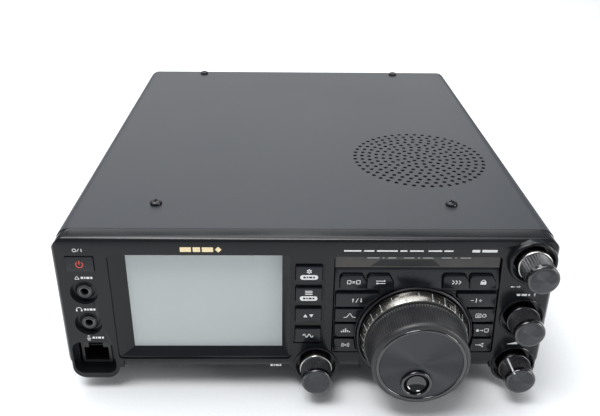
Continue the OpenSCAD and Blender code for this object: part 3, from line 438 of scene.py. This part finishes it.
def printed(name, shapes, centre_x, centre_z, y, body, slot, facing=-1, ink=None):
    """Ink on a face at depth y, one thin closed solid for each outline. facing -1 is the front, 1 the back."""
    bm = bmesh.new()
    for shape in shapes:
        rings = []
        for depth in (y - facing * 0.01 * MM, y + facing * 0.03 * MM):
            rings.append([bm.verts.new((centre_x - facing * x * MM, depth, centre_z + z * MM)) for x, z in shape])
        bm.faces.new(rings[0])
        bm.faces.new(rings[1][::-1])
        for k in range(len(shape)):
            n = (k + 1) % len(shape)
            bm.faces.new((rings[0][n], rings[0][k], rings[1][k], rings[1][n]))
    made = new_object(name, bm, [MATERIALS[ink or slot]])
    return piece(made, body)


BARS = [(0, 1.1), (1.5, 0.7), (2.6, 1.4), (4.4, 0.9)]


def dashes(h=0.9):
    """Four short bars of different lengths, which stand in for a word."""
    total = BARS[-1][0] + BARS[-1][1]
    return [rectangle(x - total / 2, -h / 2, x + w - total / 2, h / 2) for x, w in BARS]


def star():
    return [line(-1.25 * math.cos(a), -1.25 * math.sin(a), 1.25 * math.cos(a), 1.25 * math.sin(a), 0.5)
            for a in (math.radians(k) for k in (90, 30, 150))]


def power_sign():
    return arc(0, -0.15, 1.55, 125, 415, 0.42, 24) + [line(0, -0.1, 0, 1.9, 0.42)]


def padlock():
    return [rectangle(-1.3, -1.2, 1.3, 0.4)] + arc(0, 0.4, 0.85, 0, 180, 0.36, 12)


def speaker_sign():
    horn = [(-1.0, -0.4), (-0.2, -1.1), (-0.2, 1.1), (-1.0, 0.4)]
    waves = arc(-0.2, 0, 1.0, -45, 45, 0.28, 8) + arc(-0.2, 0, 1.7, -45, 45, 0.28, 8)
    return [rectangle(-1.7, -0.4, -1.0, 0.4), horn] + waves


def headphone_sign():
    return arc(0, -0.3, 1.2, 0, 180, 0.3, 14) + [rectangle(-1.5, -1.2, -0.8, -0.2), rectangle(0.8, -1.2, 1.5, -0.2)]


def microphone_sign():
    capsule = [pill(1.0, 1.0), rectangle(-0.5, 0, 0.5, 0.8), disc(0, 0.8, 0.5)]
    stand = [line(0, -0.9, 0, -1.5, 0.28), line(-0.7, -1.5, 0.7, -1.5, 0.28)]
    return capsule + arc(0, 0.05, 0.95, 190, 350, 0.26, 10) + stand


def earth_sign():
    return [line(0, 1.6, 0, 0.2), line(-1.5, 0.2, 1.5, 0.2), line(-1.0, -0.5, 1.0, -0.5), line(-0.5, -1.2, 0.5, -1.2)]


def aerial_sign():
    return [line(0, -1.6, 0, 1.4), line(0, 0.1, -1.2, 1.6), line(0, 0.1, 1.2, 1.6)]


def sine_sign():
    return path([(x * 0.3 - 2.4, 1.0 * math.sin(x * 0.3 / 4.8 * 4 * math.pi)) for x in range(17)], 0.42)


def peak_sign():
    return path([(x * 0.4 - 2.8, 2.2 * math.exp(-((x * 0.4 - 2.8) / 0.9) ** 2) - 1.0) for x in range(15)], 0.4)


def chevrons():
    return [s for x in (-1.9, -0.4, 1.1) for s in path([(x, 1.0), (x + 0.9, 0), (x, -1.0)], 0.45)]


def swap_sign():
    return arrow(-2.2, 0.65, 2.2, 0.65) + arrow(2.2, -0.65, -2.2, -0.65)


def equal_sign():
    boxes = frame_box(-2.9, -0.9, -1.3, 0.9) + frame_box(1.3, -0.9, 2.9, 0.9)
    return boxes + [line(-0.7, 0.35, 0.7, 0.35), line(-0.7, -0.35, 0.7, -0.35)]


def recall_sign():
    return arrow(-1.9, -1.1, -1.9, 1.1) + arrow(1.9, 1.1, 1.9, -1.1) + [line(-0.5, -1.1, 0.5, 1.1)]


def bars_sign():
    heights = (0.8, 1.5, 2.2, 1.2, 0.6)
    return [rectangle(-2.2 + k * 0.95, -1.1, -1.6 + k * 0.95, -1.1 + h) for k, h in enumerate(heights)]


def watch_sign():
    near = arc(0, 0, 1.1, -50, 50, 0.3, 8) + arc(0, 0, 1.1, 130, 230, 0.3, 8)
    far = arc(0, 0, 1.8, -42, 42, 0.3, 8) + arc(0, 0, 1.8, 138, 222, 0.3, 8)
    return [disc(0, 0, 0.45)] + near + far


def offset_sign():
    return [line(-2.6, 0, -1.3, 0), line(1.3, 0, 2.6, 0), line(1.95, -0.65, 1.95, 0.65), line(0, -1.1, 0, 1.1, 0.4)]


def memory_sign():
    card = frame_box(-2.3, -1.05, 0.1, 1.05) + [line(-1.7, 0.3, -0.5, 0.3), line(-1.7, -0.35, -0.5, -0.35)]
    return card + arc(1.7, 0, 0.85, 0, 360, 0.34, 16)


def store_sign():
    return [disc(-2.2, 0, 0.75)] + arrow(-1.1, 0, 0.7, 0) + frame_box(1.2, -0.95, 2.9, 0.95)


def split_sign():
    return [line(-2.2, 0, -0.6, 0)] + arrow(-0.6, 0, 1.9, 1.0) + arrow(-0.6, 0, 1.9, -1.0)


def band_sign():
    return [[(-2.4, -0.8), (-0.4, -0.8), (-1.4, 0.9)], [(2.4, 0.8), (0.4, 0.8), (1.4, -0.9)]]


def menu_sign():
    return [rectangle(-1.7, z - 0.2, 1.7, z + 0.2) for z in (-0.85, 0, 0.85)]


KEY_SIGNS = {
    "band_key": band_sign(), "mode_key": sine_sign(), "copy_key": equal_sign(), "swap_key": swap_sign(),
    "fast_key": chevrons(), "lock_key": padlock(), "recall_key": recall_sign(), "tune_key": peak_sign(),
    "scope_key": bars_sign(), "watch_key": watch_sign(), "clarifier_key": offset_sign(),
    "memory_key": memory_sign(), "store_key": store_sign(), "split_key": split_sign(),
}
PILL_SIGNS = {"function_key": star(), "menu_key": menu_sign()}


def make_keys():
    for key in [*KEY_SIGNS, *PILL_SIGNS, "power_key"]:
        refined(key, 0.28 * MM, MATERIALS["trim_plastic"], key)
        spot = middle(key)
        y = lowest(key).y
        if key in KEY_SIGNS:
            printed(key + "_mark", KEY_SIGNS[key], spot.x, spot.z, y, key, "legend_white")
        if key in PILL_SIGNS:
            sign = shifted(PILL_SIGNS[key], 0, 1.45) + shifted([pill(8.2, 2.5)], 0, -1.75)
            printed(key + "_mark", sign, spot.x, spot.z, y, key, "legend_white")
            printed(key + "_pill", shifted(dashes(), 0, -1.75), spot.x, spot.z, y - 0.03 * MM, key, "trim_plastic")
    printed("power_mark", power_sign(), middle("power_key").x, middle("power_key").z, lowest("power_key").y,
            "power_key", "legend_red")


# ---- knobs and dial ----
def fluted(count, depth, first, last):
    """Flutes cut into the points of a section from first to last."""
    def cut(angle, index):
        return depth * (0.5 - 0.5 * math.cos(count * angle)) ** 0.7 if first <= index <= last else 0
    return cut


KNOBS = {"multi_knob": "knob_collar", "clarifier_knob": "knob_collar",
         "rf_gain_knob": "dark_collar", "af_gain_knob": "dark_collar"}
COLLAR_PROUD = 0.7
SHOULDER = 2.6


def curve(centre_r, centre_ahead, radius, start, end, count=8):
    """Points of an arc in a lathe section; 0 degrees points outward and 90 points out of the panel."""
    turns = [math.radians(start + (end - start) * k / count) for k in range(count + 1)]
    return [(centre_r + radius * math.cos(t), centre_ahead + radius * math.sin(t)) for t in turns]


def knob_size(node):
    low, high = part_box(node)
    return (high.z - low.z) / 2 / MM - COLLAR_PROUD, (FACE_Y - low.y) / MM


def make_knob(node, collar):
    """Small knob: plain collar, fluted grip, polished shoulder and turned face."""
    centre = middle(node)
    r, reach = knob_size(node)
    base = 5.0 if node == "clarifier_knob" else 3.2
    grip = [(3, base - 0.6), (r + 0.35, base - 0.6), (r + 0.35, base + 0.1), (r + 0.1, reach - SHOULDER),
            (r - 0.1, reach - SHOULDER + 0.2), (3, reach - SHOULDER + 0.2)]
    made = lathe(node + "_grip", grip, MATERIALS["knob_grip"], centre, 36 * 8, fluted(36, 0.6, 2, 3))
    piece(made, node, [node])
    wide = r + COLLAR_PROUD
    ring = [(r - 0.6, -1.5), (wide, -1.5), (wide, base - 0.35), (wide - 0.1, base - 0.1), (wide - 0.3, base),
            (r - 0.6, base)]
    piece(lathe(node + "_collar", ring, MATERIALS[collar], centre, 96), node)
    shoulder = [(4, reach - SHOULDER), (r + 0.12, reach - SHOULDER), (r + 0.08, reach - 1.3)]
    shoulder += curve(r - 0.92, reach - 1.2, 1.0, 0, 75) + [(r - 1.1, reach - 0.3), (4, reach - 0.4)]
    piece(lathe(node + "_shoulder", shoulder, MATERIALS["knob_gloss"], centre, 96), node)
    face = [(0, reach - 1.2), (r - 1.05, reach - 1.2), (r - 1.05, reach - 0.25), (r - 1.2, reach - 0.15),
            (r * 0.5, reach - 0.28), (0, reach - 0.35)]
    piece(lathe(node + "_face", face, MATERIALS["knob_face"], centre, 96), node)


def pointer(node, angle):
    """White line along the side of a knob; the angle is anticlockwise from straight up."""
    centre = middle(node)
    r, reach = knob_size(node)
    bm = bmesh.new()
    corners = []
    for out_r, ahead in ((r + 0.42, 3.3), (r + 0.2, reach - SHOULDER), (r + 0.16, reach - 1.3),
                         (r - 0.1, reach - 0.6), (r - 0.6, reach - 0.17)):
        for across, depth in ((-0.35, 0), (0.35, 0), (0.35, -0.5), (-0.35, -0.5)):
            out = out_r + depth
            x = -out * math.sin(angle) + across * math.cos(angle)
            z = out * math.cos(angle) + across * math.sin(angle)
            corners.append(bm.verts.new((x * MM, -ahead * MM, z * MM)))
    rows = [corners[k:k + 4] for k in range(0, len(corners), 4)]
    for a, b in zip(rows, rows[1:]):
        for k in range(4):
            bm.faces.new((a[k], b[k], b[(k + 1) % 4], a[(k + 1) % 4]))
    bm.faces.new(rows[0])
    bm.faces.new(rows[-1][::-1])
    made = new_object(node + "_pointer", bm, [MATERIALS["legend_white"]], (centre.x, FACE_Y, centre.z))
    piece(made, node)


SKIRT_R = (highest("dial_skirt").z - lowest("dial_skirt").z) / 2 / MM
DIAL_R = (highest("main_dial").z - lowest("main_dial").z) / 2 / MM
DIAL_REACH = (FACE_Y - lowest("main_dial").y) / MM
SKIRT_FRONT_R = SKIRT_R - 1.4
SKIRT_BACK, SKIRT_FRONT = 0.6, 6.6
RIM_R = 18.85
KNURLS, KNURL_ROWS = 116, 8


def make_dial():
    """Main dial: square-cut knurl on a tapered rubber sleeve, rounded lip, polished bead and turned face."""
    centre = middle("dial_skirt")
    top, end = 7.9, DIAL_REACH - 2.9
    taper = 0.9
    section = [(19.4, 7.1), (DIAL_R - 0.5, 7.1), (DIAL_R - 0.05, 7.5)]
    for k in range(KNURL_ROWS * 2):
        share = k / (KNURL_ROWS * 2 - 1)
        section.append((DIAL_R - taper * share - (0.3 if k % 2 else 0), top + (end - top) * share))
    last = len(section) - 1
    lip = DIAL_R - taper
    section += [(lip - 0.1, end + 0.25)] + curve(lip - 2.25, end + 0.5, 2.2, 8, 90, 10)
    section += [(lip - 2.4, end + 2.6), (19.4, end + 1.6)]
    knurl = fluted(KNURLS, 0.55, 3, last)
    sleeve = lathe("dial_sleeve", section, MATERIALS["knob_rubber"], centre, KNURLS * 6, knurl)
    piece(sleeve, "dial", ["main_dial"])
    bead = [(19.6, 6.9), (DIAL_R - 0.05, 6.9), (DIAL_R - 0.05, 7.12), (19.6, 7.12)]
    piece(lathe("dial_bead", bead, MATERIALS["knob_collar"], centre, 128), "dial")
    edge = [(20.45, DIAL_REACH - 3)] + curve(19.65, DIAL_REACH - 0.55, 0.8, 0, 180, 12) + [(RIM_R, DIAL_REACH - 3)]
    piece(lathe("dial_edge", edge, MATERIALS["knob_gloss"], centre, 128), "dial")
    make_dial_face(centre)
    hub = [(0, -3.4), (2.9, -3.4), (2.9, 3.1), (5.4, 3.1), (5.4, 12), (0, 12)]
    piece(lathe("dial_hub", hub, MATERIALS["plated_steel"], centre, 64), "dial")
    skirt = [(19.7, SKIRT_BACK), (SKIRT_R - 0.2, SKIRT_BACK), (SKIRT_R, SKIRT_BACK + 0.2)]
    skirt += [(SKIRT_FRONT_R, SKIRT_FRONT - 0.1), (SKIRT_FRONT_R - 0.1, SKIRT_FRONT), (19.7, SKIRT_FRONT)]
    turned = lathe("dial_skirt_turned", skirt, MATERIALS["skirt_metal"], centre, 144)
    piece(turned, "dial", ["dial_skirt"])
    ledge = [(19.7, SKIRT_FRONT + 0.02), (SKIRT_FRONT_R - 0.15, SKIRT_FRONT + 0.02),
             (SKIRT_FRONT_R - 0.3, SKIRT_FRONT + 0.25), (19.7, SKIRT_FRONT + 0.3)]
    piece(lathe("dial_ledge", ledge, MATERIALS["knob_rubber"], centre, 144), "dial")
    make_cup()


def cup_radius():
    return (highest("finger_cup").x - lowest("finger_cup").x) / 2 / MM


def make_cup():
    """Polished dish for a fingertip, with a raised rim."""
    r = cup_radius()
    top = (FACE_Y - lowest("finger_cup").y) / MM
    dish_depth = 3.7
    section = [(0, top - 4.6), (r, top - 4.6), (r, top - 0.6)] + curve(r - 0.75, top - 0.75, 0.75, 0, 165, 10)
    for degrees in range(80, 0, -8):
        turn = math.radians(degrees)
        section.append(((r - 1.5) * math.sin(turn), top - 0.55 - dish_depth * math.cos(turn)))
    section.append((0, top - 0.55 - dish_depth))
    piece(lathe("finger_cup_dish", section, MATERIALS["cup_gloss"], middle("finger_cup"), 96), "dial",
          ["finger_cup"])


def make_dial_face(centre):
    """Turned face, slightly dished, with the round hole that the finger cup sits in."""
    cup = middle("finger_cup")
    cup_r = cup_radius() + 0.06
    offset = Vector((cup.x - centre.x, cup.z - centre.z)) / MM
    depth = DIAL_REACH - 0.35
    bm = bmesh.new()
    count = 96
    rings = []
    for share in (0.0, 0.12, 0.3, 0.55, 0.8, 0.96, 1.0):
        ring = []
        for k in range(count):
            angle = 2 * math.pi * k / count
            spoke = Vector((math.sin(angle), math.cos(angle)))
            point = (offset + cup_r * spoke).lerp(RIM_R * spoke, share)
            dish = 0.3 * (1 - point.length / RIM_R)
            ring.append(bm.verts.new((point.x * MM, -(depth - dish) * MM, point.y * MM)))
        rings.append(ring)
    back = [[bm.verts.new((v.co.x, -(depth - 3) * MM, v.co.z)) for v in ring] for ring in (rings[-1], rings[0])]
    loops = rings + back
    for a, b in zip(loops, loops[1:] + loops[:1]):
        for k in range(count):
            n = (k + 1) % count
            bm.faces.new((a[k], b[k], b[n], a[n]))
    face = new_object("dial_face", bm, [MATERIALS["dial_face"]], (centre.x, FACE_Y, centre.z), math.radians(40))
    piece(face, "dial")


SCALE_MARKS = 25


def make_scale():
    """Graduations on the skirt: a line with a dot at its front end, and a short line between each two."""
    centre = middle("dial_skirt")
    bm = bmesh.new()
    slope = (SKIRT_R - SKIRT_FRONT_R) / (SKIRT_FRONT - SKIRT_BACK)

    def tab(angle, width, start, end):
        turn = Matrix.Rotation(angle, 4, "Y")
        corners = []
        for ahead in (start, end):
            r = SKIRT_R - slope * (ahead - SKIRT_BACK)
            for x, z in ((-width, r - 0.25), (width, r - 0.25), (width, r + 0.03), (-width, r + 0.03)):
                corners.append(bm.verts.new(turn @ Vector((x / 2 * MM, -ahead * MM, z * MM))))
        for quad in ((0, 1, 2, 3), (7, 6, 5, 4), (0, 4, 5, 1), (1, 5, 6, 2), (2, 6, 7, 3), (3, 7, 4, 0)):
            bm.faces.new([corners[i] for i in quad])

    for k in range(2 * SCALE_MARKS):
        angle = math.pi * k / SCALE_MARKS
        if k % 2:
            tab(angle, 0.25, 4.9, 6.3)
        else:
            tab(angle, 0.3, 1.6, 5.1)
            tab(angle, 0.9, 5.4, 6.3)
    made = new_object("dial_ticks", bm, [MATERIALS["legend_grey"]], (centre.x, FACE_Y, centre.z))
    piece(made, "dial")


def well_ring(name, centre, r):
    """Fine bright line round the mouth of a knob's well."""
    section = [(r - 0.1, 0.4), (r + 0.12, 0.4), (r + 0.12, 0.66), (r, 0.72), (r - 0.1, 0.66)]
    piece(lathe(name, section, MATERIALS["trim_plastic"], centre, 96), CASE)


# ---- the back and the sockets ----
def make_back():
    """Pictograms beside the rear sockets."""
    marks = [
        ("hf", aerial_sign(), 74, 66), ("vhf", aerial_sign(), -76, 66), ("earth", earth_sign(), 82, 22),
        ("remote", swap_sign(), -64, 68), ("speaker", speaker_sign(), -46, 68),
        ("supply", [line(-3.4, 0, -1.4, 0, 0.4), line(1.4, 0, 3.4, 0, 0.4), line(-2.4, -1, -2.4, 1, 0.4)], -88, 31),
        ("data", arrow(-2, 0.6, 2, 0.6) + arrow(2, -0.6, -2, -0.6), 56, 32), ("link", split_sign(), -46, 31),
        ("meter", peak_sign(), 56, 71),
    ]
    for name, shapes, x, z in marks:
        printed(f"rear_{name}_sign", shapes, x * MM, (z + LIFT) * MM, BACK_Y, CASE, "legend_white", 1, "legend_grey")


def make_contacts():
    """Bright contact rings at the mouths of the two front jacks."""
    low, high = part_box("front_jacks")
    ahead = (FACE_Y - low.y) / MM
    spread = (high.x - low.x) / 2
    ring = [(1.95, ahead - 0.4), (2.75, ahead - 0.4), (2.75, ahead + 0.02), (2.5, ahead + 0.2), (1.95, ahead + 0.04)]
    for k, z in enumerate((low.z + spread, high.z - spread)):
        at = Vector(((low.x + high.x) / 2, 0, z))
        piece(lathe(f"jack_contact_{k + 1}", ring, MATERIALS["dark_collar"], at, 48), CASE)


# ---- the front ----
def make_front():
    refined("front_panel", 0.22 * MM, MATERIALS["panel_plastic"], CASE)
    refined("dial_panel", 0.2 * MM, MATERIALS["trim_plastic"], CASE)
    for node in ("multi_knob", "rf_gain_knob", "af_gain_knob"):
        well_ring(node.replace("knob", "well_ring"), middle(node), 9.85)
    power = middle("power_key")
    front_marks = [
        (shifted(arc(0, 0, 0.75, 0, 360, 0.28, 16), -1.6, 0)
         + [line(1.6, -0.8, 1.6, 0.8, 0.3), line(-0.5, -0.8, 0.5, 0.8, 0.26)],
         power.x, power.z + 7.0 * MM),
        (path([(-3.2, -0.8), (-2.2, 0.9), (-1.2, -0.8), (-3.2, -0.8)], 0.26) + shifted(dashes(1.1), 2.2, 0),
         power.x, power.z - 7.6 * MM),
        (shifted(headphone_sign(), -3.4, 0.2) + shifted(dashes(1.1), 1.5, 0), power.x, power.z - 25.2 * MM),
        (shifted(microphone_sign(), -1.8, 0) + shifted(dashes(1.1), 2.6, 0), power.x + 1 * MM, power.z - 41.6 * MM),
        (dashes(1.1), middle("multi_knob").x - 19.5 * MM, middle("multi_knob").z - 0.4 * MM),
    ]
    for k, (shapes, x, z) in enumerate(front_marks):
        printed(f"panel_mark_{k + 1}", shapes, x, z, FACE_Y, CASE, "legend_white")
    make_titles()


def row_of(x0, x1, z, widths, gap, h):
    """Bars of the given relative widths that fill the row from x0 to x1."""
    scale = (x1 - x0 - gap * (len(widths) - 1)) / sum(widths)
    bars = []
    for width in widths:
        bars.append(rectangle(x0, z - h / 2, x0 + width * scale, z + h / 2))
        x0 += width * scale + gap
    return bars


def make_titles():
    """Plain bars that stand in for the lettering above the dial, beside the knobs and in the window; also a painted
    reflection on the window.
    """
    base = LIFT * MM
    gold = row_of(-56.7, -41.9, 73.95, (3, 2, 3), 0.8, 2.4) + [disc(-39.6, 73.95, 1.5, 4)]
    printed("panel_badge", gold, 0, base, FACE_Y, CASE, "legend_gold")
    title = row_of(16.7, 52.5, 73.5, (5, 3, 6, 2, 4), 1.2, 0.7) + row_of(54.7, 65.9, 73.5, (3, 2), 1.0, 0.7)
    printed("panel_title", title, 0, base, FACE_Y, CASE, "legend_white")
    model = row_of(74.5, 85.8, 73.5, (2, 4), 1.0, 1.3)
    printed("panel_model", model, 0, base, FACE_Y, CASE, "legend_white")
    signs = [
        ("clarifier", arrow(-0.3, 0, -2.3, 0) + arrow(0.3, 0, 2.3, 0), 96.9, 54.3),
        ("rf_gain", row_of(-4.6, 1.6, 0, (2, 3, 1), 0.6, 1.1) + arrow(3.8, -0.8, 3.8, 0.9), 102.7, 49.8),
        ("af_gain", [[(-2.6, -0.7), (2.6, -0.7), (2.6, 0.9)]], 100.1, 21.75),
    ]
    for name, shapes, x, z in signs:
        printed(name + "_sign", shapes, x * MM, base + z * MM, FACE_Y, CASE, "legend_white")
    window = lowest("indicator_window").y
    dashes_in = [rectangle(x0, 68.6, x1, 69.1) for x0, x1 in ((27.6, 33), (34.6, 35.4), (37, 40.6), (44.3, 49),
                 (50.6, 51.4), (53, 57.7), (61.4, 66), (67.6, 68.4), (70, 74.8))]
    printed("window_marks", dashes_in, 0, base, window, CASE, "legend_white", ink="legend_grey")
    # Darker trapezoid of trim plastic laid on the smoked window: a painted reflection, not a print on the window.
    reflection_outline = [(29.3, 64.4), (61.3, 64.4), (57.5, 67.9), (33.7, 67.9)]
    printed("window_painted_reflection", [reflection_outline], 0, base, window, CASE, "trim_plastic")


make_camera()
make_light()
make_floor()

for node, made in nodes.items():
    own = made.data.materials[0].name.split(".")[0]
    made.material_slots[0].material = MATERIALS[own]

make_front()
make_keys()
make_back()
make_contacts()
for knob, collar in KNOBS.items():
    make_knob(knob, collar)
pointer("af_gain_knob", math.radians(36))
make_dial()
make_scale()

bpy.context.view_layer.update()
